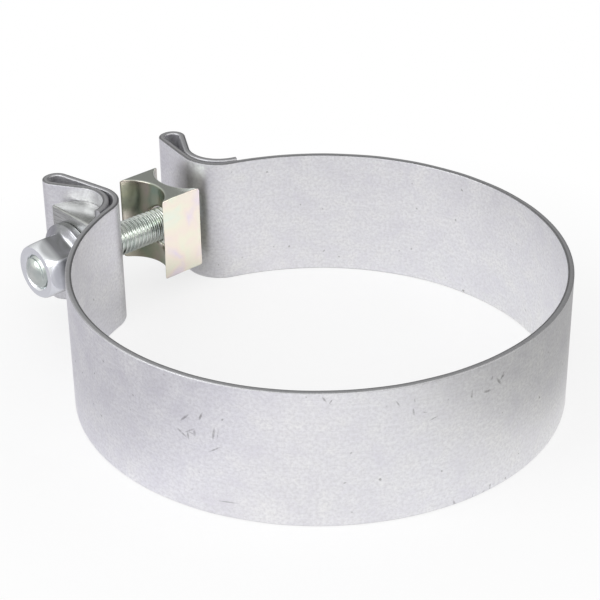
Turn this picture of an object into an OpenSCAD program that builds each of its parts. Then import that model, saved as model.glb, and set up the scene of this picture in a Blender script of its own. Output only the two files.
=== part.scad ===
// Flat band clamp for a lap joint in an exhaust pipe, shown open as it is delivered.
// One strip is rolled into a ring and folded back on itself at both ends. Each folded end is a
// lug with a loop at its tip and a round seat for a half-round saddle. One bolt draws the
// saddles together, and a waisted reaction block between the lugs bears on the pipe.
//
// Frame: origin on the ring's axis at mid-width, Z along the pipe, Y through the middle of the
// gap between the lugs, X along the bolt with its nut at the -X end. Millimetres.

/* [Band] */
// Width of the strip along the pipe
band_w = 31.75; // [28:0.25:50]
// Thickness of the strip
strip_t = 1.4; // [1:0.1:1.8]
// Inner radius of the ring as delivered
ring_r = 54.3; // [45:0.1:80]
// Half of the angle between the two lugs
lug_angle = 11.15; // [10.5:0.05:14]
// Radius of the bend from ring to lug, on the gap side
bend_r = 9.2; // [7.5:0.1:10.4]

/* [Lugs] */
// Height of the loop's centre above the ring's outer face
lug_rise = 20.3; // [19:0.1:26]
// Outer radius of the loop at the lug's tip
loop_r = 3.3; // [2.6:0.1:3.8]
// Gap between the two layers of a lug at its neck
neck_gap = 0.3; // [0.2:0.05:0.6]
// Gap between the folded tail and the ring
tail_gap = 0.6; // [0.4:0.05:0.8]
// Length of the straight tail past the point where it comes down on the ring
tail_len = 1.2; // [1:0.1:4]
// Radius of a weld spot that joins a tail to the ring
weld_r = 0.9; // [0.6:0.1:1]
// Distance between neighbouring weld spots
weld_pitch = 10; // [6:0.5:12]
// Width of the bolt slot, up the lug
slot_w = 9.2; // [9.1:0.1:10]
// Length of the bolt slot, along the pipe
slot_len = 10.6; // [10.4:0.1:12]

/* [Saddles] */
// Radius of the half-round bar
saddle_r = 7.7; // [7.2:0.1:8.2]
// Clearance between a saddle and its seat
seat_clear = 0.1; // [0.05:0.05:0.2]
// Length of the saddle under the nut
nut_saddle_len = 22.5; // [19:0.5:24]
// Length of the saddle under the bolt's head
head_saddle_len = 14; // [13:0.5:24]

/* [Bolt] */
// Nominal diameter of the bolt
bolt_d = 8; // [7.6:0.1:8.2]
// Clearance around the bolt in the saddles
hole_clear = 0.3; // [0.2:0.05:0.4]
// Height of the bolt above the band's middle, within the play of its slots
bolt_z = 1; // [-1:0.1:1]
// Length of the shank under the head
bolt_len = 58.8; // [57.5:0.1:62]
// Width of the bolt's head across its flats
head_af = 13; // [12:0.1:13.4]
// Height of the bolt's head
head_h = 5.3; // [4.5:0.1:6]
// Radius of the dome that rounds the bolt's tip
tip_dome_r = 6; // [5:0.5:12]

/* [Lock nut] */
// Width of the nut across its flats
nut_af = 13; // [12:0.1:13.4]
// Height of the nut
nut_h = 11; // [10.4:0.1:11.6]
// Diameter of the nut's flange
flange_d = 17.9; // [16.5:0.1:18.4]
// Thickness of the flange at its rim
flange_rim = 2.1; // [1:0.1:2.4]
// Height at which the flange's cone meets the hexagon
flange_h = 3.3; // [3:0.1:3.6]
// Height at which the crown starts to round off the hexagon
crown_start = 7; // [6:0.1:7.4]
// Diameter of the flat end of the crown
crown_d = 12.4; // [11.6:0.1:12.6]
// Turn of the hexagon from having a corner on the -Y side, towards +Z
nut_turn = 36; // [0:1:60]
// Running clearance between the nut and the bolt
nut_clear = 0.05; // [0.03:0.01:0.08]
// Clearance between the nut's flange and its saddle
nut_seat_clear = 0.05; // [0.03:0.01:0.1]

/* [Reaction block] */
// Height of the block along the pipe
block_h = 21.4; // [16:0.1:26]
// Width of the block's end that bears on the pipe
block_foot_w = 12; // [10:0.1:12.6]
// Width of the block's outer end
block_top_w = 12.2; // [12:0.1:14.2]
// Thickness of the block at its waist
block_waist = 2.4; // [1.6:0.1:3]
// Distance from the ring's outer face to the block's outer end
block_rise = 15.5; // [14:0.1:15.6]
// Clearance between the block's foot and a pipe that fills the ring
foot_clear = 0.3; // [0.3:0.05:0.6]
// Position of the block along the bolt, from the middle of the gap
block_x = 4.6; // [-5:0.1:5]
// Clearance around the bolt in the block, which hangs on the bolt by it
block_clear = 1.1; // [1.05:0.05:1.3]

/* [Hidden] */
$fn = 96;

// Largest turn from one point of an arc to the next, in degrees
arc_step = 5;

// Overlap that carries a cutter past the face it opens
past = 1;

// Ring and bends, with the lugs drawn along +Y before they are turned by lug_angle
ring_out = ring_r + strip_t;
bend_reach = ring_r + bend_r;
bend_y = sqrt(pow(bend_reach, 2) - pow(bend_r, 2));
bend_sweep = atan(bend_y / bend_r);
ring_half_gap = lug_angle + 90 - bend_sweep;

// Each lug's root closes over the end of the ring, by a step too low to see
root_len = 1;
root_step = 0.02;
root_sweep = root_len / ring_r * 180 / PI;

// Seat of a saddle in its lug: it touches the neck on one side and the tail on the other
seat_r = saddle_r + seat_clear;
neck_t = 2 * strip_t + neck_gap;
tail_r = ring_out + tail_gap + strip_t;
seat_x = neck_t + seat_r;
seat_y = sqrt(pow(tail_r + seat_r, 2) - pow(seat_x, 2));
seat_bearing = atan(seat_y / seat_x);

// Loop at the tip, and the straight that runs from it down to the seat
loop_y = ring_out + lug_rise;
loop_dx = loop_r - seat_x;
loop_dy = loop_y - seat_y;
loop_dist = sqrt(pow(loop_dx, 2) + pow(loop_dy, 2));
straight_normal = atan2(loop_dy, loop_dx) + acos((loop_r + seat_r) / loop_dist);

// Bolt's axis, through the centres of both seats
saddle_x = seat_x * cos(lug_angle) + seat_y * sin(lug_angle);
bolt_y = seat_y * cos(lug_angle) - seat_x * sin(lug_angle);
bolt_r = bolt_d / 2;
hole_r = bolt_r + hole_clear;
block_hole_r = bolt_r + block_clear;
slot_y = (bolt_y + neck_t / 2 * sin(lug_angle)) / cos(lug_angle);

// Width across the corners of a hexagon for each millimetre across its flats
hex_corners = 2 / sqrt(3);
washer_face_h = 0.4;

// Lock nut's crown, a ball that passes through the hexagon's corners and the rim of its end
nut_corner_r = nut_af * hex_corners / 2;
crown_r2 = pow(crown_d / 2, 2);
crown_mid = (pow(nut_h, 2) + crown_r2 - pow(crown_start, 2) - pow(nut_corner_r, 2))
    / (2 * (nut_h - crown_start));
crown_ball_r = sqrt(crown_r2 + pow(nut_h - crown_mid, 2));
nut_mouth = 0.5;

// Reaction block: each side is one round groove that runs from the foot's corner to the top's
block_top_y = ring_out + block_rise;
foot_arc_r = ring_r + foot_clear;
foot_corner_y = sqrt(pow(foot_arc_r, 2) - pow(block_foot_w / 2, 2));
groove_len = block_top_y - foot_corner_y;
foot_depth = (block_foot_w - block_waist) / 2;
top_depth = (block_top_w - block_waist) / 2;
groove_square = foot_depth * (pow(groove_len, 2) + top_depth * (top_depth - foot_depth));
groove_foot_len = groove_square / (foot_depth * groove_len
    + sqrt(pow(foot_depth * groove_len, 2) + (top_depth - foot_depth) * groove_square));
groove_y = foot_corner_y + groove_foot_len;
groove_r = (pow(groove_foot_len, 2) + pow(foot_depth, 2)) / (2 * foot_depth);

// Point at bearing a and radius r from centre c, and an arc of such points
function at(c, r, a) = [c[0] + r * cos(a), c[1] + r * sin(a)];
function arc(c, r, from, to) =
    let (steps = ceil(abs(to - from) / arc_step))
    [for (i = [0:steps]) at(c, r, from + (to - from) * i / steps)];

// Slot with round ends along Z, cut through along X from the origin
module slot(length, width, depth) {
    rotate([0, 90, 0])
        linear_extrude(height = depth) {
            square([length - width, width], center = true);
            for (side = [-1, 1])
                translate([side * (length - width) / 2, 0])
                    circle(d = width);
        }
}

// One face of a folded lug, from the ring to the tail: set is 0 for the face that continues the
// ring's inner wall, and strip_t for the other
function lug_face(set) = concat(
    arc([bend_r, bend_y], bend_r - set, 180 + bend_sweep - arc_step, 180),
    arc([loop_r, loop_y], loop_r - set, 180, straight_normal - 180),
    arc([seat_x, seat_y], seat_r + set, straight_normal, 180 + seat_bearing),
    [at(at([0, 0], tail_r - set, seat_bearing), tail_len, seat_bearing - 90)]
);

function root_face(r) = [for (back = [root_sweep, 0]) at([0, 0], r, bend_sweep - back)];
function reversed(points) = [for (i = [len(points) - 1:-1:0]) points[i]];

// Lug at the +X side of the gap, upright beside the plane X = 0
module lug() {
    difference() {
        linear_extrude(height = band_w, center = true)
            polygon(concat(
                root_face(ring_r - root_step),
                lug_face(0),
                reversed(lug_face(strip_t)),
                reversed(root_face(ring_out + root_step))
            ));
        translate([-past, slot_y, 0])
            slot(slot_len, slot_w, seat_x + past);
    }
}

// Row of weld spots between the tail and the ring
module welds() {
    rotate([0, 0, seat_bearing])
        for (row = [-1:1])
            translate([ring_out - strip_t / 2, 0, row * weld_pitch])
                rotate([0, 90, 0])
                    cylinder(r = weld_r, h = tail_gap + strip_t);
}

// Both lugs' side of the gap, from what is drawn for the +X side
module both_sides() {
    for (side = [0, 1])
        mirror([side, 0, 0])
            rotate([0, 0, -lug_angle])
                children();
}

module band() {
    color("lightgray") {
        rotate([0, 0, 90 + ring_half_gap])
            rotate_extrude(angle = 360 - 2 * ring_half_gap)
                translate([ring_r, -band_w / 2])
                    square([strip_t, band_w]);
        both_sides() {
            lug();
            welds();
        }
    }
}

// Half-round bar with its flat face outwards, drilled for the bolt, at the +X seat
module saddle(length) {
    difference() {
        translate([saddle_x, bolt_y, bolt_z])
            cylinder(r = saddle_r, h = length, center = true);
        translate([saddle_x, bolt_y - saddle_r - past, bolt_z - length])
            cube([saddle_r + past, 2 * (saddle_r + past), 2 * length]);
        translate([saddle_x - saddle_r - past, bolt_y, bolt_z])
            rotate([0, 90, 0])
                cylinder(r = hole_r, h = saddle_r + 2 * past);
    }
}

module nut_saddle() {
    color("gray")
        mirror([1, 0, 0])
            saddle(nut_saddle_len);
}

module head_saddle() {
    color("gray")
        saddle(head_saddle_len);
}

// Block with a round groove down each side, a foot curved to the pipe, and the bolt's hole
module reaction_block() {
    color("khaki")
        translate([block_x, 0, 0])
            difference() {
                linear_extrude(height = block_h, center = true)
                    difference() {
                        polygon([
                            [-block_foot_w / 2, foot_corner_y - past],
                            [block_foot_w / 2, foot_corner_y - past],
                            [block_foot_w / 2, groove_y],
                            [block_top_w / 2, block_top_y],
                            [-block_top_w / 2, block_top_y],
                            [-block_foot_w / 2, groove_y]
                        ]);
                        circle(r = foot_arc_r);
                        for (side = [-1, 1])
                            translate([side * (block_waist / 2 + groove_r), groove_y])
                                circle(r = groove_r);
                    }
                translate([-block_top_w / 2 - past, bolt_y, 0])
                    rotate([0, 90, 0])
                        cylinder(r = block_hole_r, h = block_top_w + 2 * past);
            }
}

// Hexagon across flats af, with a corner on +X
module hex_prism(af, height) {
    cylinder(d = af * hex_corners, h = height, $fn = 6);
}

// Hexagon bolt with a washer face, its tip towards -X
module bolt() {
    color("silver")
        translate([saddle_x, bolt_y, bolt_z])
            rotate([0, 90, 0]) {
                cylinder(d = head_af - washer_face_h, h = washer_face_h);
                translate([0, 0, washer_face_h])
                    intersection() {
                        hex_prism(head_af, head_h - washer_face_h);
                        cylinder(d1 = 2 * head_af, d2 = head_af, h = head_h - washer_face_h);
                    }
                intersection() {
                    translate([0, 0, -bolt_len])
                        cylinder(r = bolt_r, h = bolt_len);
                    translate([0, 0, tip_dome_r - bolt_len])
                        union() {
                            sphere(r = tip_dome_r);
                            cylinder(r = bolt_d, h = bolt_len);
                        }
                }
            }
}

// Lock nut with a flange on its saddle and a rounded crown that grips the thread
module lock_nut() {
    color("lightsteelblue")
        translate([-saddle_x - nut_seat_clear, bolt_y, bolt_z])
            rotate([0, -90, 0])
                difference() {
                    union() {
                        cylinder(d = flange_d, h = flange_rim);
                        translate([0, 0, flange_rim])
                            cylinder(
                                d1 = flange_d,
                                d2 = nut_af,
                                h = flange_h - flange_rim
                            );
                        intersection() {
                            rotate([0, 0, -90 - nut_turn])
                                hex_prism(nut_af, nut_h);
                            union() {
                                cylinder(r = nut_af, h = crown_mid);
                                translate([0, 0, crown_mid])
                                    sphere(r = crown_ball_r);
                            }
                        }
                    }
                    translate([0, 0, -past])
                        cylinder(r = bolt_r + nut_clear, h = nut_h + 2 * past);
                    translate([0, 0, nut_h - nut_mouth])
                        cylinder(
                            r1 = bolt_r + nut_clear,
                            r2 = bolt_r + nut_clear + nut_mouth,
                            h = nut_mouth
                        );
                }
}

band();
nut_saddle();
head_saddle();
reaction_block();
bolt();
lock_nut();
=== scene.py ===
import bpy
import math
import random
import bmesh
from mathutils import Matrix, Vector, noise


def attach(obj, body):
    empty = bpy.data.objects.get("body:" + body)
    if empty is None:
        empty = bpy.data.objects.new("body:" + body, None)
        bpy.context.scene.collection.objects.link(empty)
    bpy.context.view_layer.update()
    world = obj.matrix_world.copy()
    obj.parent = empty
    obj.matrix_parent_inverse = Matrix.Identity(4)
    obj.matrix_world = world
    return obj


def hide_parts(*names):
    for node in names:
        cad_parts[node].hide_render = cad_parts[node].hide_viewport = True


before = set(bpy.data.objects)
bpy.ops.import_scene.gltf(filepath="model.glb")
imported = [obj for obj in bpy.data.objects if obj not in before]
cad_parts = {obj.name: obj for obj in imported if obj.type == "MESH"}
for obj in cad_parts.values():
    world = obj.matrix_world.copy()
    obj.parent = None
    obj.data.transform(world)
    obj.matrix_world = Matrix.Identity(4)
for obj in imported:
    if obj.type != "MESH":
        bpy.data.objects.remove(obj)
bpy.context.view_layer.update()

MM = 0.001

# Band and lugs, with the same values as the solids
BAND_W = 31.75
STRIP_T = 1.4
EDGE_ROUND = 0.32
RING_R = 54.3
LUG_ANGLE = 11.15
BEND_R = 9.2
LUG_RISE = 20.3
LOOP_R = 3.3
NECK_GAP = 0.3
TAIL_GAP = 0.6
TAIL_LEN = 1.2
WELD_R = 0.9
WELD_PITCH = 10.0
SLOT_W = 9.2
SLOT_LEN = 10.6

# Saddles, bolt, nut and block
SADDLE_R = 7.7
SEAT_R = 7.8
NUT_SADDLE_LEN = 22.5
HEAD_SADDLE_LEN = 14.0
BOLT_R = 4.0
HOLE_R = 4.3
BOLT_Z = 1.0
BOLT_LEN = 58.8
HEAD_AF = 13.0
HEAD_H = 5.3
TIP_DOME_R = 6.0
THREAD_PITCH = 1.25
NUT_AF = 13.0
NUT_H = 11.0
FLANGE_R = 8.95
FLANGE_RIM = 2.1
FLANGE_H = 3.3
CROWN_START = 7.0
CROWN_R = 6.2
NUT_TURN = 36.0
NUT_BORE_R = 4.05
NUT_SEAT_CLEAR = 0.05
BLOCK_H = 21.4
BLOCK_FOOT_W = 12.0
BLOCK_TOP_W = 12.2
BLOCK_WAIST = 2.4
BLOCK_RISE = 15.5
FOOT_CLEAR = 0.3
BLOCK_X = 4.6
BLOCK_HOLE_R = 5.1

# Values that follow from them
RING_OUT = RING_R + STRIP_T
BEND_REACH = RING_R + BEND_R
BEND_Y = math.sqrt(BEND_REACH**2 - BEND_R**2)
BEND_SWEEP = math.degrees(math.atan2(BEND_Y, BEND_R))
NECK_T = 2 * STRIP_T + NECK_GAP
TAIL_R = RING_OUT + TAIL_GAP + STRIP_T
SEAT_X = NECK_T + SEAT_R
SEAT_Y = math.sqrt((TAIL_R + SEAT_R) ** 2 - SEAT_X**2)
SEAT_BEARING = math.degrees(math.atan2(SEAT_Y, SEAT_X))
LOOP_Y = RING_OUT + LUG_RISE
LOOP_DX = LOOP_R - SEAT_X
LOOP_DY = LOOP_Y - SEAT_Y
STRAIGHT_NORMAL = math.degrees(
    math.atan2(LOOP_DY, LOOP_DX)
    + math.acos((LOOP_R + SEAT_R) / math.hypot(LOOP_DX, LOOP_DY))
)
TURN = math.radians(LUG_ANGLE)
SADDLE_X = SEAT_X * math.cos(TURN) + SEAT_Y * math.sin(TURN)
BOLT_Y = SEAT_Y * math.cos(TURN) - SEAT_X * math.sin(TURN)
SLOT_Y = (BOLT_Y + NECK_T / 2 * math.sin(TURN)) / math.cos(TURN)
FLOOR_Z = -BAND_W / 2

# Photograph's camera, from a fit to the ring and the gap: turn about Z, rise, roll and place
VIEW_TURN = 42.1
VIEW_RISE = 29.3
VIEW_ROLL = -0.68
VIEW_DIST = 397.19
VIEW_RIGHT = -4.382
VIEW_UP = 4.604
VIEW_LENS = 106.14


# Meshes
def mesh_object(name, points, faces, sharp=40):
    mesh = bpy.data.meshes.new(name)
    mesh.from_pydata([tuple(MM * c for c in p) for p in points], [], faces)
    mesh.validate()
    work = bmesh.new()
    work.from_mesh(mesh)
    bmesh.ops.recalc_face_normals(work, faces=work.faces)
    work.to_mesh(mesh)
    work.free()
    mesh.shade_smooth()
    mesh.set_sharp_from_angle(angle=math.radians(sharp))
    thing = bpy.data.objects.new(name, mesh)
    bpy.context.scene.collection.objects.link(thing)
    return thing


def grid_faces(rows, cols, close_rows=False, close_cols=True):
    faces = []
    for i in range(rows if close_rows else rows - 1):
        for j in range(cols if close_cols else cols - 1):
            a = i * cols + j
            b = i * cols + (j + 1) % cols
            c = ((i + 1) % rows) * cols + (j + 1) % cols
            d = ((i + 1) % rows) * cols + j
            faces.append((a, b, c, d))
    return faces


def loft(name, rows, close_rows=False, caps=True, sharp=40):
    cols = len(rows[0])
    points = [p for row in rows for p in row]
    faces = grid_faces(len(rows), cols, close_rows)
    if caps and not close_rows:
        faces.append(tuple(range(cols)))
        faces.append(tuple(len(points) - 1 - j for j in range(cols)))
    return mesh_object(name, points, faces, sharp)


def lathe(profile, spin):
    """profile is a list of functions of the angle that give (x, radius) for one row."""
    rows = []
    for row in profile:
        ring = []
        for k in range(spin):
            angle = 2 * math.pi * k / spin
            x, r = row(angle)
            ring.append((x, BOLT_Y + r * math.cos(angle), BOLT_Z + r * math.sin(angle)))
        rows.append(ring)
    return rows


def cut(thing, cutter, sharp=40):
    step = thing.modifiers.new("cut", "BOOLEAN")
    step.object = cutter
    step.solver = "EXACT"
    bpy.context.view_layer.update()
    shape = thing.evaluated_get(bpy.context.evaluated_depsgraph_get())
    mesh = bpy.data.meshes.new_from_object(shape)
    thing.modifiers.clear()
    thing.data = mesh
    mesh.shade_smooth()
    mesh.set_sharp_from_angle(angle=math.radians(sharp))
    bpy.data.objects.remove(cutter)


# Finishes. The strip is laid flat on its UV map, with the outer face above the pipe's face
UV_PER_MM = 0.01
OUTER_FACE_UP = 60


def new_material(name, colour, rough, metallic=1.0):
    material = bpy.data.materials.new(name)
    material.use_nodes = True
    shader = material.node_tree.nodes["Principled BSDF"]
    shader.inputs["Base Color"].default_value = (*colour, 1)
    shader.inputs["Metallic"].default_value = metallic
    shader.inputs["Roughness"].default_value = rough
    return material, material.node_tree, shader


def place(tree, uv, scale, turn=(0, 0, 0)):
    coords = tree.nodes.new("ShaderNodeTexCoord")
    mapping = tree.nodes.new("ShaderNodeMapping")
    mapping.inputs["Scale"].default_value = scale
    mapping.inputs["Rotation"].default_value = turn
    tree.links.new(coords.outputs["UV" if uv else "Object"], mapping.inputs["Vector"])
    return mapping.outputs["Vector"]


def noise_field(tree, vector, scale, detail=4.0, rough=0.55, warp=0.0):
    field = tree.nodes.new("ShaderNodeTexNoise")
    field.inputs["Scale"].default_value = scale
    field.inputs["Detail"].default_value = detail
    field.inputs["Roughness"].default_value = rough
    field.inputs["Distortion"].default_value = warp
    tree.links.new(vector, field.inputs["Vector"])
    return field.outputs["Fac"]


def ramp(tree, value, stops):
    node = tree.nodes.new("ShaderNodeValToRGB")
    bar = node.color_ramp
    bar.elements[0].position = stops[0][0]
    bar.elements[0].color = (*stops[0][1], 1)
    bar.elements[1].position = stops[-1][0]
    bar.elements[1].color = (*stops[-1][1], 1)
    for at, colour in stops[1:-1]:
        bar.elements.new(at).color = (*colour, 1)
    tree.links.new(value, node.inputs["Fac"])
    return node.outputs["Color"]


def spread(tree, value, low, high, to_low, to_high):
    node = tree.nodes.new("ShaderNodeMapRange")
    for key, number in (
        ("From Min", low),
        ("From Max", high),
        ("To Min", to_low),
        ("To Max", to_high),
    ):
        node.inputs[key].default_value = number
    tree.links.new(value, node.inputs["Value"])
    return node.outputs["Result"]


def maths(tree, kind, a, b):
    node = tree.nodes.new("ShaderNodeMath")
    node.operation = kind
    for slot_at, value in ((0, a), (1, b)):
        if isinstance(value, (int, float)):
            node.inputs[slot_at].default_value = value
        else:
            tree.links.new(value, node.inputs[slot_at])
    return node.outputs["Value"]


def blend_colours(tree, factor, a, b, kind="MIX"):
    node = tree.nodes.new("ShaderNodeMix")
    node.data_type = "RGBA"
    node.blend_type = kind
    for key, value in ((0, factor), (6, a), (7, b)):
        if isinstance(value, tuple):
            node.inputs[key].default_value = (*value, 1)
        elif isinstance(value, (int, float)):
            node.inputs[key].default_value = value
        else:
            tree.links.new(value, node.inputs[key])
    return node.outputs[2]


def add_bump(tree, shader, height, distance, strength=1.0):
    node = tree.nodes.new("ShaderNodeBump")
    node.inputs["Distance"].default_value = distance
    node.inputs["Strength"].default_value = strength
    tree.links.new(height, node.inputs["Height"])
    tree.links.new(node.outputs["Normal"], shader.inputs["Normal"])


# Dents and scratches on the strip's outer face, in groups, in millimetres on the strip laid flat:
# the group's place along the strip from its middle and up it, its count, its half size along and
# up, and the longest mark
MARK_GROUPS = (
    (92, 10, 1, 0, 0, 0.8),
    (66, 4, 10, 5, 5, 1.8),
    (60, -12, 1, 0, 0, 2.4),
    (40, 14, 2, 1, 0.5, 1.2),
    (25, 9, 5, 9, 4, 1.0),
    (10, -15, 4, 8, 0.6, 1.0),
    (5, 12, 6, 7, 3, 1.0),
    (-90, 0, 6, 50, 12, 1.6),
    (125, 2, 3, 15, 10, 1.2),
)
MARK_WIDTH = (0.13, 0.32)
MARK_DEPTH = (0.5, 0.95)
MARK_SEED = 7


def draw_marks():
    draw = random.Random(MARK_SEED)
    marks = []
    for along, height, count, reach_along, reach_up, longest in MARK_GROUPS:
        for _ in range(count):
            at = along + draw.uniform(-reach_along, reach_along)
            up = height + draw.uniform(-reach_up, reach_up)
            tilt = draw.uniform(-90, 90)
            half = draw.uniform(0.4 * longest, longest)
            marks.append((at, up, tilt, half, draw.uniform(*MARK_WIDTH), draw.uniform(*MARK_DEPTH)))
    return marks


def marked_field(tree):
    coords = tree.nodes.new("ShaderNodeTexCoord")
    total = 0.0
    for along, height, tilt, half, wide, depth in draw_marks():
        laid = tree.nodes.new("ShaderNodeMapping")
        laid.vector_type = "TEXTURE"
        middle = (UV_PER_MM * along, UV_PER_MM * (height + OUTER_FACE_UP), 0)
        laid.inputs["Location"].default_value = middle
        laid.inputs["Rotation"].default_value = (0, 0, math.radians(tilt))
        laid.inputs["Scale"].default_value = (UV_PER_MM * half, UV_PER_MM * wide, 1)
        away = tree.nodes.new("ShaderNodeVectorMath")
        away.operation = "LENGTH"
        tree.links.new(coords.outputs["UV"], laid.inputs["Vector"])
        tree.links.new(laid.outputs["Vector"], away.inputs[0])
        near = spread(tree, away.outputs["Value"], 0.5, 1.25, depth, 0.0)
        total = maths(tree, "MAXIMUM", near, total)
    grit = noise_field(tree, place(tree, True, (1, 1, 1)), 160.0, 3.0, 0.6, 0.5)
    return maths(tree, "MULTIPLY", total, spread(tree, grit, 0.35, 0.55, 0.45, 1.0))


def aluminised():
    material, tree, shader = new_material("aluminised_strip", (0.74, 0.74, 0.75), 0.4)
    cloudy = noise_field(tree, place(tree, True, (1, 1, 1)), 14.0, 6.0, 0.72, 0.3)
    mottled = noise_field(tree, place(tree, True, (1, 1, 1)), 140.0, 4.0, 0.7)
    rolled = noise_field(tree, place(tree, True, (1.2, 60, 1)), 6.0, 3.0, 0.6)
    fine = noise_field(tree, place(tree, True, (1, 1, 1)), 260.0, 2.0, 0.6)
    scratch = noise_field(tree, place(tree, True, (3, 150, 1), (0, 0, 0.12)), 3.0, 2.0, 0.5, 0.3)
    speck = noise_field(tree, place(tree, True, (1, 1, 1)), 70.0, 1.0, 0.4)
    scratched = spread(tree, scratch, 0.72, 0.76, 0.0, 1.0)
    specked = spread(tree, speck, 0.765, 0.79, 0.0, 1.0)
    tone = ramp(
        tree,
        cloudy,
        [(0.3, (0.79, 0.78, 0.83)), (0.5, (0.88, 0.88, 0.9)), (0.7, (0.94, 0.94, 0.93))],
    )
    tone = blend_colours(tree, spread(tree, mottled, 0.4, 0.64, 0.0, 0.7), tone, (0.68, 0.67, 0.69))
    tone = blend_colours(tree, spread(tree, rolled, 0.35, 0.7, 0.0, 0.35), tone, (0.73, 0.73, 0.75))
    tone = blend_colours(tree, maths(tree, "MULTIPLY", scratched, 0.4), tone, (0.9, 0.9, 0.9))
    tone = blend_colours(tree, maths(tree, "MULTIPLY", specked, 0.6), tone, (0.3, 0.29, 0.28))
    marked = maths(tree, "MULTIPLY", marked_field(tree), 0.7)
    tone = blend_colours(tree, marked, tone, (0.2, 0.19, 0.19))
    tree.links.new(tone, shader.inputs["Base Color"])
    rough = spread(tree, cloudy, 0.3, 0.7, 0.34, 0.5)
    rough = maths(tree, "ADD", rough, maths(tree, "MULTIPLY", rolled, 0.06))
    tree.links.new(rough, shader.inputs["Roughness"])
    height = maths(tree, "MULTIPLY", maths(tree, "ADD", rolled, fine), 0.5)
    height = maths(tree, "SUBTRACT", height, maths(tree, "MULTIPLY", scratched, 0.6))
    add_bump(tree, shader, height, 0.00004, 0.6)
    return material


def sheared_edge():
    """The pipe side of each cut edge is painted dark, as shade along its inner corner, and the outer
    side lighter.
    """
    material, tree, shader = new_material("aluminised_strip_edge", (0.3, 0.3, 0.305), 0.5)
    streak = noise_field(tree, place(tree, True, (160, 12, 1)), 3.0, 3.0, 0.6)
    # Painted shade: the pipe side of the edge is dark and the outer side lighter, both with streaks
    shaded_pipe_side = ramp(tree, streak, [(0.3, (0.18, 0.18, 0.185)), (0.7, (0.36, 0.36, 0.365))])
    lighter_outer_side = ramp(tree, streak, [(0.3, (0.46, 0.46, 0.47)), (0.7, (0.58, 0.58, 0.59))])
    split = tree.nodes.new("ShaderNodeSeparateXYZ")
    tree.links.new(place(tree, True, (1, 1, 1)), split.inputs["Vector"])
    outward = spread(tree, split.outputs["Y"], 0.2, 0.44, 0.0, 1.0)
    tree.links.new(blend_colours(tree, outward, shaded_pipe_side, lighter_outer_side), shader.inputs["Base Color"])
    add_bump(tree, shader, streak, 0.00005, 0.6)
    return material


def turned_steel():
    material, tree, shader = new_material("saddle_steel", (0.52, 0.53, 0.51), 0.26)
    lines = noise_field(tree, place(tree, False, (400, 400, 9000)), 0.8, 3.0, 0.6)
    tone = ramp(tree, lines, [(0.3, (0.38, 0.39, 0.37)), (0.7, (0.6, 0.61, 0.59))])
    tree.links.new(tone, shader.inputs["Base Color"])
    add_bump(tree, shader, lines, 0.00002, 0.5)
    return material


def yellow_zinc():
    material, tree, shader = new_material("yellow_zinc", (0.84, 0.79, 0.66), 0.16)
    swirl = noise_field(tree, place(tree, False, (1, 1, 1)), 130.0, 2.0, 0.45, 0.7)
    # Painted light: the foot's light cream tone, as if lit, with the plating's own hue shift
    lit_foot_tone = ramp(
        tree,
        swirl,
        [
            (0.3, (0.9, 0.95, 0.82)),
            (0.45, (0.97, 0.93, 0.78)),
            (0.56, (0.99, 0.89, 0.79)),
            (0.68, (0.93, 0.83, 0.88)),
        ],
    )
    # Painted shade: the sides' dark olive tone, with the same hue shift
    shaded_side_tone = ramp(
        tree,
        swirl,
        [
            (0.3, (0.24, 0.31, 0.24)),
            (0.45, (0.32, 0.34, 0.25)),
            (0.56, (0.38, 0.35, 0.28)),
            (0.64, (0.37, 0.31, 0.34)),
            (0.74, (0.3, 0.37, 0.31)),
        ],
    )
    # The face's direction picks the tone: the foot, facing the pipe, gets the painted lit tone, the
    # sides the painted shade, and the flat ends a painted mid grey-green
    shape = tree.nodes.new("ShaderNodeNewGeometry")
    split = tree.nodes.new("ShaderNodeSeparateXYZ")
    tree.links.new(shape.outputs["Normal"], split.inputs["Vector"])
    lit_foot_mask = spread(tree, split.outputs["Y"], -0.55, -0.9, 0.0, 1.0)
    flat = maths(tree, "ABSOLUTE", split.outputs["Z"], 0.0)
    shaded_sides_and_ends = blend_colours(tree, spread(tree, flat, 0.5, 0.9, 0.0, 1.0), shaded_side_tone, (0.6, 0.63, 0.57))
    tone = blend_colours(tree, lit_foot_mask, shaded_sides_and_ends, lit_foot_tone)
    tree.links.new(tone, shader.inputs["Base Color"])
    grain = noise_field(tree, place(tree, False, (1, 1, 1)), 2600.0, 3.0, 0.6)
    add_bump(tree, shader, grain, 0.00003, 0.5)
    return material


def clear_zinc(name, colour, tint, rough, painted_crown_highlight=None):
    material, tree, shader = new_material(name, colour, rough)
    cloudy = noise_field(tree, place(tree, False, (1, 1, 1)), 240.0, 3.0, 0.5, 0.8)
    tone = ramp(tree, cloudy, [(0.35, colour), (0.65, tint)])
    if painted_crown_highlight:
        # Painted highlight: from the start of the crown to the end face, the nut is lightened to
        # near white
        coords = tree.nodes.new("ShaderNodeTexCoord")
        split = tree.nodes.new("ShaderNodeSeparateXYZ")
        tree.links.new(coords.outputs["Object"], split.inputs["Vector"])
        near = -MM * (SADDLE_X + CROWN_START)
        crown_highlight_mask = spread(tree, split.outputs["X"], near, near - 1.5 * MM, 0.0, 1.0)
        tone = blend_colours(tree, crown_highlight_mask, tone, painted_crown_highlight)
    tree.links.new(tone, shader.inputs["Base Color"])
    grain = noise_field(tree, place(tree, False, (1, 1, 1)), 2400.0, 2.0, 0.6)
    add_bump(tree, shader, grain, 0.00002, 0.4)
    return material


STRIP = aluminised()
EDGE = sheared_edge()
SADDLE = turned_steel()
YELLOW = yellow_zinc()
BOLT = clear_zinc("bolt_zinc", (0.6, 0.66, 0.62), (0.74, 0.77, 0.72), 0.2)
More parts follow.
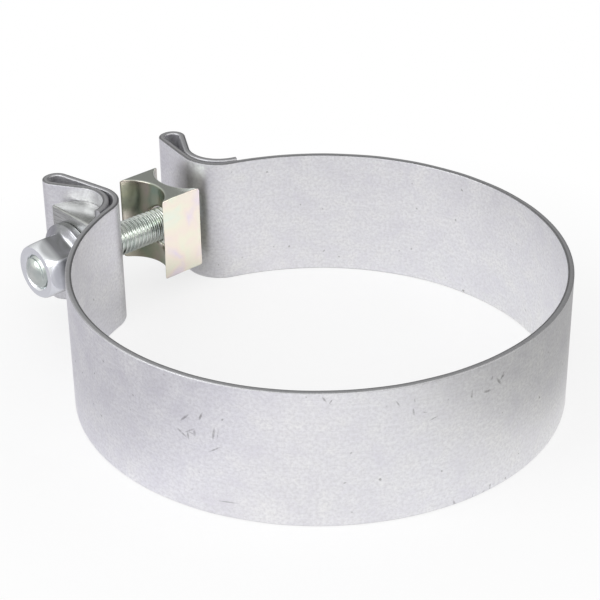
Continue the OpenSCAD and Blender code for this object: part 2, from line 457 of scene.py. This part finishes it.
# The nut's last colour is the painted highlight on its crown
NUT = clear_zinc("nut_zinc", (0.33, 0.34, 0.34), (0.43, 0.43, 0.46), 0.17, (0.9, 0.92, 0.94))


# Distances of the rows of mesh faces from the strip's middle, in parts of the last one
FACE_ROWS = (0.4, 1.2, 2.6, 4.6, 7.0, 9.4, 11.8, 14.0)

# Part of the half width past which the cut edge wanders
WANDER_FROM = 0.93


# Strip: its midline with the direction of the face that bears on the pipe
def arc_path(centre, r, start, end, out, step=3.0):
    count = max(2, math.ceil(abs(end - start) / step))
    path = []
    for i in range(count + 1):
        a = math.radians(start + (end - start) * i / count)
        c, s = math.cos(a), math.sin(a)
        path.append((centre[0] + r * c, centre[1] + r * s, out * c, out * s))
    return path


def line_path(p, q, parts):
    return [
        tuple(p[k] + (q[k] - p[k]) * i / parts for k in range(4)) for i in range(1, parts)
    ]


def lug_path():
    mid = STRIP_T / 2
    b = math.radians(SEAT_BEARING)
    tail = (
        (TAIL_R - mid) * math.cos(b) + TAIL_LEN * math.sin(b),
        (TAIL_R - mid) * math.sin(b) - TAIL_LEN * math.cos(b),
        math.cos(b),
        math.sin(b),
    )
    seat = arc_path((SEAT_X, SEAT_Y), SEAT_R + mid, 180 + SEAT_BEARING, STRAIGHT_NORMAL, -1)
    loop = arc_path((LOOP_R, LOOP_Y), LOOP_R - mid, STRAIGHT_NORMAL - 180, 180, 1, 6)
    bend = arc_path((BEND_R, BEND_Y), BEND_R - mid, 180, 180 + BEND_SWEEP, 1, 5)
    path = [tail]
    path += line_path(tail, seat[0], 3)
    path += seat
    path += line_path(seat[-1], loop[0], 6)
    path += loop
    path += line_path(loop[-1], bend[0], 8)
    path += bend
    return path


def turned(p, side):
    c, s = math.cos(TURN), math.sin(TURN)
    x, y = p[0] * c + p[1] * s, p[1] * c - p[0] * s
    nx, ny = p[2] * c + p[3] * s, p[3] * c - p[2] * s
    return (side * x, y, side * nx, ny)


def strip_path():
    lug = lug_path()
    right = [turned(p, 1) for p in lug]
    ring = arc_path((0, 0), RING_R + STRIP_T / 2, BEND_SWEEP - LUG_ANGLE, -90, -1, 1.5)
    half = right + ring[1:]
    left = [(-x, y, -nx, ny) for x, y, nx, ny in reversed(half[:-1])]
    return half + left


def strip_section():
    """Points (across the thickness, across the width) round the strip, and which are cut edge."""
    t, w, e = STRIP_T / 2, BAND_W / 2, EDGE_ROUND
    across = [-c for c in reversed(FACE_ROWS)] + [0] + list(FACE_ROWS)
    section = []
    rim = []
    for u_side in (1, -1):
        for c in across:
            section.append((u_side * t, u_side * c * (w - e - 0.1) / FACE_ROWS[-1]))
            rim.append(False)
        for corner in ((1, 1), (-1, 1)):
            for i in range(5):
                a = math.pi / 8 * i
                if corner[0] == 1:
                    u, z = math.cos(a), math.sin(a)
                else:
                    u, z = -math.sin(a), math.cos(a)
                u = corner[0] * (t - e) + e * u
                z = w - e + e * z
                section.append((u_side * u, u_side * z))
                rim.append(i > 0 if corner[0] == 1 else i < 4)
            if corner[0] == 1:
                section.append((-0.1, u_side * w))
                rim.append(True)
    return section, rim


def make_strip():
    path = strip_path()
    section, rim = strip_section()
    run = [0.0]
    for p, q in zip(path, path[1:]):
        run.append(run[-1] + math.hypot(q[0] - p[0], q[1] - p[1]))
    rows = []
    for p, s in zip(path, run):
        row = []
        top = 0.09 + 0.09 * noise.noise(Vector((s * 0.11, 3.1, 0)))
        low = 0.07 + 0.07 * noise.noise(Vector((s * 0.13, 9.4, 0)))
        for u, z in section:
            edge = max(0.0, abs(z) / (BAND_W / 2) - WANDER_FROM) / (1 - WANDER_FROM)
            z -= edge * (top if z > 0 else -low)
            row.append((p[0] + u * p[2], p[1] + u * p[3], z))
        rows.append(row)
    strip = loft("band_strip", rows, sharp=50)
    strip.data.materials.append(STRIP)
    strip.data.materials.append(EDGE)
    cols = len(section)
    mesh = strip.data
    layer = mesh.uv_layers.new(name="strip")
    for face in mesh.polygons:
        for corner in face.loop_indices:
            v = mesh.loops[corner].vertex_index
            i, j = divmod(v, cols)
            u, z = section[j]
            up = z + (OUTER_FACE_UP if u < 0 else 0)
            layer.data[corner].uv = ((run[i] - run[-1] / 2) * UV_PER_MM, up * UV_PER_MM)
        js = {mesh.loops[c].vertex_index % cols for c in face.loop_indices}
        if len(js) > 2 or all(rim[j] for j in js):
            face.material_index = 1
    for side in (1, -1):
        cut(strip, slot_cutter(side), 50)
    return strip


def slot_cutter(side):
    rows = []
    for x in (-1.0, SEAT_X):
        row = []
        for k in range(64):
            a = 2 * math.pi * (k + 0.5) / 64
            z = SLOT_W / 2 * math.cos(a) + math.copysign((SLOT_LEN - SLOT_W) / 2, math.cos(a))
            q = turned((x, SLOT_Y + SLOT_W / 2 * math.sin(a), 0, 0), side)
            row.append((q[0], q[1], z))
        rows.append(row)
    return loft("slot_cutter", rows)


def make_welds():
    rows_all = []
    faces = []
    for side in (1, -1):
        for k in (-1, 0, 1):
            b = math.radians(SEAT_BEARING)
            rows = []
            for r in (RING_OUT - 0.5, RING_OUT + TAIL_GAP + 0.5):
                for j in range(24):
                    a = 2 * math.pi * j / 24
                    d = WELD_R * math.cos(a)
                    x = r * math.cos(b) - d * math.sin(b)
                    y = r * math.sin(b) + d * math.cos(b)
                    q = turned((x, y, 0, 0), side)
                    rows.append((q[0], q[1], k * WELD_PITCH + WELD_R * math.sin(a)))
            base = len(rows_all)
            rows_all += rows
            for f in grid_faces(2, 24):
                faces.append(tuple(base + v for v in f))
            faces.append(tuple(base + v for v in range(24)))
            faces.append(tuple(base + 47 - v for v in range(24)))
    return mesh_object("band_welds", rows_all, faces)


# Half-round saddles, with the rounding of their long edges and of their ends
SADDLE_EDGE_R = 0.55
SADDLE_END_R = 0.45


def saddle_outline(inset):
    r = SADDLE_R - inset
    c = SADDLE_EDGE_R
    reach = math.sqrt((r - c) ** 2 - c**2)
    tilt = math.degrees(math.atan2(reach, -c))
    outline = []
    for i in range(7):
        a = math.radians(tilt * i / 6)
        outline.append((-inset - c + c * math.cos(a), reach + c * math.sin(a)))
    for i in range(1, 60):
        a = math.radians(tilt + (360 - 2 * tilt) * i / 60)
        outline.append((-inset + r * math.cos(a), r * math.sin(a)))
    for i in range(7):
        a = math.radians(tilt * (i - 6) / 6)
        outline.append((-inset - c + c * math.cos(a), -reach + c * math.sin(a)))
    return outline


def make_saddle(name, side, length):
    rows = []
    levels = []
    for i in range(5):
        a = math.radians(90 * i / 4)
        inset = SADDLE_END_R * (1 - math.cos(a))
        levels.append((-length / 2 + SADDLE_END_R * (1 - math.sin(a)), inset))
    ends = [(z, inset) for z, inset in reversed(levels)]
    ends += [(-length / 2 + length * i / 12, 0.0) for i in range(1, 12)]
    ends += [(-z, inset) for z, inset in levels]
    for z, inset in ends:
        outline = saddle_outline(inset)
        rows.append(
            [(side * (SADDLE_X + x), BOLT_Y + y, BOLT_Z + z) for x, y in outline]
        )
    saddle = loft(name, rows)
    mouth = [
        lambda a: (side * (SADDLE_X - 12), HOLE_R),
        lambda a: (side * (SADDLE_X + 3), HOLE_R),
    ]
    cut(saddle, loft("mouth", lathe(mouth, 64)))
    return saddle


# Reaction block: a ring of stations round the bolt's hole, each a closed loop through the block.
# Its corners, its edges and the lead-in of its hole are rounded
BLOCK_CORNER_R = 0.6
BLOCK_EDGE_R = 0.45
LEAD_IN_WIDE = 0.75
LEAD_IN_DEEP = 0.62


def make_block():
    top_y = RING_OUT + BLOCK_RISE
    foot_r = RING_R + FOOT_CLEAR
    foot_y = math.sqrt(foot_r**2 - (BLOCK_FOOT_W / 2) ** 2)
    length = top_y - foot_y
    d1 = (BLOCK_FOOT_W - BLOCK_WAIST) / 2
    d2 = (BLOCK_TOP_W - BLOCK_WAIST) / 2
    square = d1 * (length**2 + d2 * (d2 - d1))
    reach = square / (d1 * length + math.sqrt((d1 * length) ** 2 + (d2 - d1) * square))
    groove_y = foot_y + reach
    groove_r = (reach**2 + d1**2) / (2 * d1)

    def half_width(y):
        rise = min(abs(y - groove_y), groove_r - 0.01)
        return BLOCK_WAIST / 2 + groove_r - math.sqrt(groove_r**2 - rise**2)

    corner = BLOCK_CORNER_R
    outline = []
    for cy, cz, first in (
        (top_y, BLOCK_H / 2, 0),
        (foot_y, BLOCK_H / 2, 90),
        (foot_y, -BLOCK_H / 2, 180),
        (top_y, -BLOCK_H / 2, 270),
    ):
        ky = cy - math.copysign(corner, cy - BOLT_Y)
        kz = cz - math.copysign(corner, cz)
        for i in range(7):
            a = math.radians(first + 15 * i)
            outline.append((ky + corner * math.cos(a), kz + corner * math.sin(a)))
    stations = []
    for i, p in enumerate(outline):
        q = outline[(i + 1) % len(outline)]
        gap = math.hypot(q[0] - p[0], q[1] - p[1])
        parts = max(1, round(gap / 0.5))
        for k in range(parts):
            f = k / parts
            stations.append((p[0] + (q[0] - p[0]) * f, p[1] + (q[1] - p[1]) * f))
    fillet = BLOCK_EDGE_R
    rows = []
    for by, bz in stations:
        reach_y, reach_z = by - BOLT_Y, bz
        far = math.hypot(reach_y, reach_z)
        dy, dz = reach_y / far, reach_z / far
        side = []
        for i in range(6):
            f = i / 5
            r = BLOCK_HOLE_R + LEAD_IN_WIDE * f**1.6
            side.append((r, LEAD_IN_DEEP * (1 - f) ** 1.7))
        inner = BLOCK_HOLE_R + LEAD_IN_WIDE
        outer = far - fillet
        for i in range(1, 25):
            side.append((inner + (outer - inner) * i / 24, 0.0))
        for i in range(1, 6):
            a = math.radians(90 * i / 5)
            side.append((outer + fillet * math.sin(a), fillet * (1 - math.cos(a))))
        loop = []
        for r, drop in side:
            y = BOLT_Y + r * dy
            loop.append((half_width(y) - drop, y, r * dz))
        wall = [(-loop[k][0], loop[k][1], loop[k][2]) for k in range(len(loop) - 1, -1, -1)]
        start, end = loop[-1], wall[0]
        for i in range(1, 12):
            x = start[0] + (end[0] - start[0]) * i / 12
            loop.append((x, start[1], start[2]))
        loop += wall
        for i in range(1, 4):
            x = wall[-1][0] + (loop[0][0] - wall[-1][0]) * i / 4
            loop.append((x, loop[0][1], loop[0][2]))
        row = []
        for x, y, z in loop:
            if by < BOLT_Y and abs(y - by) < 0.02:
                y = max(y, math.sqrt(foot_r**2 - x**2))
            row.append((x + BLOCK_X, y, z))
        rows.append(row)
    return loft("reaction_block_body", rows, close_rows=True, sharp=60)


# Threaded bolt and lock nut, with the thread's depth, its end and the length over which it fades
THREAD_DEPTH = 0.62
THREAD_END = 16.0
THREAD_FADE = 2.0
WASHER_FACE_H = 0.4


def hex_radius(angle, af, corner):
    total = 0.0
    for k in range(6):
        c = math.cos(angle - corner - math.radians(30 + 60 * k))
        if c > 0:
            total += c**60
    return af / 2 / total ** (1 / 60)


def soft_min(a, b, blur):
    gap = max(0.0, 1 - abs(a - b) / blur)
    return min(a, b) - gap * gap * blur / 4


def thread_groove(x, angle):
    phase = (x / THREAD_PITCH + angle / (2 * math.pi)) % 1.0
    wave = abs(2 * phase - 1)
    wave = min(1.0, max(0.0, (wave - 0.1) / 0.72))
    return THREAD_DEPTH * wave * wave * (3 - 2 * wave)


def make_bolt():
    tip = SADDLE_X - BOLT_LEN
    profile = []

    def shank(x):
        d = x - tip
        dome = math.sqrt(max(0.3, TIP_DOME_R**2 - (TIP_DOME_R - d) ** 2)) if d < 5.9 else 9.0
        fade = min(1.0, max(0.0, (THREAD_END - x) / THREAD_FADE))

        def row(a):
            r = BOLT_R - 0.03 - fade * thread_groove(x, a)
            return (x, soft_min(r, dome, 0.5))

        return row

    x = tip
    while x < THREAD_END:
        profile.append(shank(x))
        x += THREAD_PITCH / 11
    while x < SADDLE_X - 0.3:
        profile.append(shank(x))
        x += 1.5
    face = SADDLE_X
    corner = math.radians(90)
    profile.append(lambda a: (face, BOLT_R - 0.02))
    for r in (5.0, 6.0):
        profile.append(lambda a, r=r: (face, r))
    for x, r in ((0.08, 6.22), (0.2, 6.3), (WASHER_FACE_H, 6.3)):
        profile.append(lambda a, x=x, r=r: (face + x, r))
    for k in range(0, 23):
        h = WASHER_FACE_H + (HEAD_H - WASHER_FACE_H) * k / 22

        def row(a, h=h):
            r = hex_radius(a, HEAD_AF, corner)
            top = HEAD_AF / 2 - 0.35 + (HEAD_H - h) * 1.6
            low = HEAD_AF / 2 + 0.1 + (h - WASHER_FACE_H) * 2.2
            r = soft_min(soft_min(r, top, 0.35), low, 0.2)
            return (face + h, r)

        profile.append(row)
    for r, drop in ((6.0, 0.0), (5.2, 0.0), (4.9, 0.04), (4.4, 0.16), (3.0, 0.16), (0.4, 0.16)):
        profile.append(lambda a, r=r, drop=drop: (face + HEAD_H - drop, r))
    return loft("bolt_threaded", lathe(profile, 96), sharp=48)


def make_nut():
    base = -SADDLE_X - NUT_SEAT_CLEAR
    corner = math.radians(180 - NUT_TURN)
    corner_r = NUT_AF / math.sqrt(3)
    seat_round = 0.35
    rim_round = 0.4
    mid = (NUT_H**2 + CROWN_R**2 - CROWN_START**2 - corner_r**2) / (2 * (NUT_H - CROWN_START))
    ball = math.sqrt(CROWN_R**2 + (NUT_H - mid) ** 2)
    profile = []

    def level(h, r):
        profile.append(lambda a: (base - h, r))

    level(0.3, NUT_BORE_R)
    level(0.0, NUT_BORE_R + 0.3)
    level(0.0, 6.0)
    level(0.0, FLANGE_R - rim_round)
    for i in range(1, 6):
        a = math.radians(90 * i / 5)
        level(seat_round * (1 - math.cos(a)), FLANGE_R - seat_round * (1 - math.sin(a)))
    for i in range(1, 6):
        level(seat_round + (FLANGE_RIM - seat_round - rim_round) * i / 5, FLANGE_R)
    for i in range(1, 7):
        a = math.radians(75 * i / 6)
        rise = FLANGE_RIM - rim_round + rim_round * math.sin(a)
        level(rise, FLANGE_R - rim_round * (1 - math.cos(a)))

    def upper(h):
        cone = FLANGE_R - 0.3 - (h - FLANGE_RIM) * (FLANGE_R - NUT_AF / 2) / (FLANGE_H - FLANGE_RIM)

        def row(a):
            r = hex_radius(a, NUT_AF, corner)
            if h > mid:
                r = soft_min(r, math.sqrt(max(1.0, ball**2 - (h - mid) ** 2)), 0.3)
            r = -soft_min(-r, -cone, 0.7)
            return (base - h, r)

        profile.append(row)

    for i in range(12):
        upper(FLANGE_RIM + 0.06 + (FLANGE_H + 0.9 - FLANGE_RIM) * i / 11)
    for i in range(1, 36):
        upper(FLANGE_H + 0.96 + (NUT_H - FLANGE_H - 1.0) * i / 35)
    for r in (CROWN_R - 0.25, 5.4, 4.9):
        level(NUT_H, r)
    for h, r in ((0.03, 4.72), (0.14, 4.58), (0.5, 4.12), (0.62, NUT_BORE_R)):
        level(NUT_H - h, r)
    level(NUT_H / 2, NUT_BORE_R)
    return loft("lock_nut_flanged", lathe(profile, 180), close_rows=True, sharp=40)


def finish_piece(thing, material, body, node):
    if not thing.data.materials:
        thing.data.materials.append(material)
    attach(thing, body)
    if node:
        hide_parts(node)


finish_piece(make_strip(), STRIP, "clamp", "band")
finish_piece(make_welds(), STRIP, "clamp", None)
nut_bar = make_saddle("nut_saddle_bar", -1, NUT_SADDLE_LEN)
finish_piece(nut_bar, SADDLE, "clamp", "nut_saddle")
head_bar = make_saddle("head_saddle_bar", 1, HEAD_SADDLE_LEN)
finish_piece(head_bar, SADDLE, "clamp", "head_saddle")
finish_piece(make_bolt(), BOLT, "clamp", "bolt")
finish_piece(make_block(), YELLOW, "block", "reaction_block")
finish_piece(make_nut(), NUT, "nut", "lock_nut")


# Level of the white room: for diffuse rays, and for what the metal mirrors from the side away from
# the bright one to the bright one
FILL_LIGHT = 0.5
ROOM_LEVEL = (0.2, 0.92)
BRIGHT_SIDE = (-0.72, -0.5, 0.48)


# Studio: x to the photograph's right, y away from its camera, z up
def studio(x, y, z):
    a = math.radians(VIEW_TURN)
    return Vector((x * math.cos(a) + y * math.sin(a), y * math.cos(a) - x * math.sin(a), z))


def softbox(name, at, size, watts, colour=(1, 1, 1), aim=(0, 0, 0)):
    data = bpy.data.lights.new(name, "AREA")
    data.shape = "RECTANGLE"
    data.size = size[0]
    data.size_y = size[1]
    data.energy = watts
    data.color = colour
    lamp = bpy.data.objects.new(name, data)
    lamp.location = studio(*at)
    lamp.rotation_euler = (studio(*aim) - lamp.location).to_track_quat("-Z", "Y").to_euler()
    bpy.context.scene.collection.objects.link(lamp)
    return lamp


softbox("box_left", (-0.75, -0.35, 0.55), (0.6, 0.8), 3.8, (0.97, 0.98, 1))
softbox("box_front", (0.25, -0.75, 0.8), (0.9, 0.5), 3.0)
softbox("box_right", (0.8, -0.2, 0.4), (0.5, 0.6), 1.6, (1, 0.98, 0.96))


def make_world():
    world = bpy.data.worlds.new("studio")
    bpy.context.scene.world = world
    world.use_nodes = True
    tree = world.node_tree
    back = tree.nodes["Background"]
    rays = tree.nodes.new("ShaderNodeLightPath")
    coords = tree.nodes.new("ShaderNodeTexCoord")
    facing = tree.nodes.new("ShaderNodeVectorMath")
    facing.operation = "DOT_PRODUCT"
    facing.inputs[1].default_value = studio(*BRIGHT_SIDE)
    tree.links.new(coords.outputs["Generated"], facing.inputs[0])
    sky = spread(tree, facing.outputs["Value"], -0.4, 0.7, *ROOM_LEVEL)
    seen = maths(tree, "MAXIMUM", rays.outputs["Is Camera Ray"], rays.outputs["Is Transmission Ray"])
    glossy = maths(tree, "MULTIPLY", rays.outputs["Is Glossy Ray"], sky)
    other = maths(tree, "SUBTRACT", 1.0, maths(tree, "MAXIMUM", seen, rays.outputs["Is Glossy Ray"]))
    level = maths(tree, "ADD", seen, glossy)
    level = maths(tree, "ADD", level, maths(tree, "MULTIPLY", other, FILL_LIGHT))
    back.inputs["Color"].default_value = (1, 1, 1, 1)
    tree.links.new(level, back.inputs["Strength"])


make_world()


def make_floor():
    half = 3000.0
    z = FLOOR_Z
    floor = mesh_object(
        "floor",
        [(-half, -half, z), (half, -half, z), (half, half, z), (-half, half, z)],
        [(0, 1, 2, 3)],
    )
    material, tree, shader = new_material("floor_white", (0.9, 0.9, 0.9), 0.9, 0.0)
    shader.inputs["Specular IOR Level"].default_value = 0.1
    coords = tree.nodes.new("ShaderNodeTexCoord")
    reach = tree.nodes.new("ShaderNodeVectorMath")
    reach.operation = "LENGTH"
    tree.links.new(coords.outputs["Object"], reach.inputs[0])
    away = spread(tree, reach.outputs["Value"], 0.06, 0.13, 0.74, 1.0)
    rays = tree.nodes.new("ShaderNodeLightPath")
    seen = maths(tree, "MAXIMUM", rays.outputs["Is Camera Ray"], rays.outputs["Is Transmission Ray"])
    seen = maths(tree, "MAXIMUM", seen, rays.outputs["Is Glossy Ray"])
    # Painted reflection: glossy rays see the floor as bands across the view, dimmer at the left,
    # dark at the right and bright in the middle, with a dark patch left of the clamp and away from
    # the camera; camera rays see it white
    across = tree.nodes.new("ShaderNodeVectorMath")
    across.operation = "DOT_PRODUCT"
    across.inputs[1].default_value = studio(1, 0, 0)
    tree.links.new(coords.outputs["Object"], across.inputs[0])
    mirrored_bands = ramp(
        tree,
        spread(tree, across.outputs["Value"], -0.1, 0.1, 0.0, 1.0),
        [
            (0.0, (0.6, 0.59, 0.63)),
            (0.16, (0.62, 0.61, 0.65)),
            (0.3, (0.95, 0.94, 1.0)),
            (0.42, (1.0, 0.99, 1.0)),
            (0.66, (0.98, 0.98, 1.0)),
            (0.78, (0.93, 0.93, 0.92)),
            (0.86, (0.44, 0.44, 0.43)),
            (1.0, (0.42, 0.42, 0.41)),
        ],
    )
    beside = tree.nodes.new("ShaderNodeVectorMath")
    beside.operation = "DISTANCE"
    beside.inputs[1].default_value = studio(-0.042, 0.042, FLOOR_Z * MM)
    tree.links.new(coords.outputs["Object"], beside.inputs[0])
    mirrored_dark_patch = spread(tree, beside.outputs["Value"], 0.008, 0.032, 0.85, 0.0)
    mirrored_bands = blend_colours(tree, mirrored_dark_patch, mirrored_bands, (0.3, 0.3, 0.28))
    mirrored_bands = blend_colours(tree, rays.outputs["Is Glossy Ray"], (1.0, 1.0, 1.0), mirrored_bands)
    glow = tree.nodes.new("ShaderNodeEmission")
    tree.links.new(mirrored_bands, glow.inputs["Color"])
    mix = tree.nodes.new("ShaderNodeMixShader")
    tree.links.new(maths(tree, "MULTIPLY", seen, away), mix.inputs["Fac"])
    tree.links.new(shader.outputs["BSDF"], mix.inputs[1])
    tree.links.new(glow.outputs["Emission"], mix.inputs[2])
    tree.links.new(mix.outputs["Shader"], tree.nodes["Material Output"].inputs["Surface"])
    floor.data.materials.append(material)


make_floor()


def make_camera():
    rise = math.radians(VIEW_RISE)
    roll = math.radians(VIEW_ROLL)
    back = Vector((0, -math.cos(rise), math.sin(rise)))
    flat = Vector((1, 0, 0))
    upright = back.cross(flat)
    right = math.cos(roll) * flat + math.sin(roll) * upright
    up = math.cos(roll) * upright - math.sin(roll) * flat
    at = (back * VIEW_DIST + right * VIEW_RIGHT + up * VIEW_UP) * MM
    axes = Matrix((right, up, back)).transposed().to_4x4()
    spin = Matrix.Rotation(math.radians(-VIEW_TURN), 4, "Z")
    data = bpy.data.cameras.new("camera")
    data.lens = VIEW_LENS
    data.sensor_width = 36
    data.clip_start = 0.02
    camera = bpy.data.objects.new("camera", data)
    camera.matrix_world = spin @ Matrix.Translation(at) @ axes
    bpy.context.scene.collection.objects.link(camera)
    bpy.context.scene.camera = camera


make_camera()

bpy.context.scene.view_settings.view_transform = "Standard"
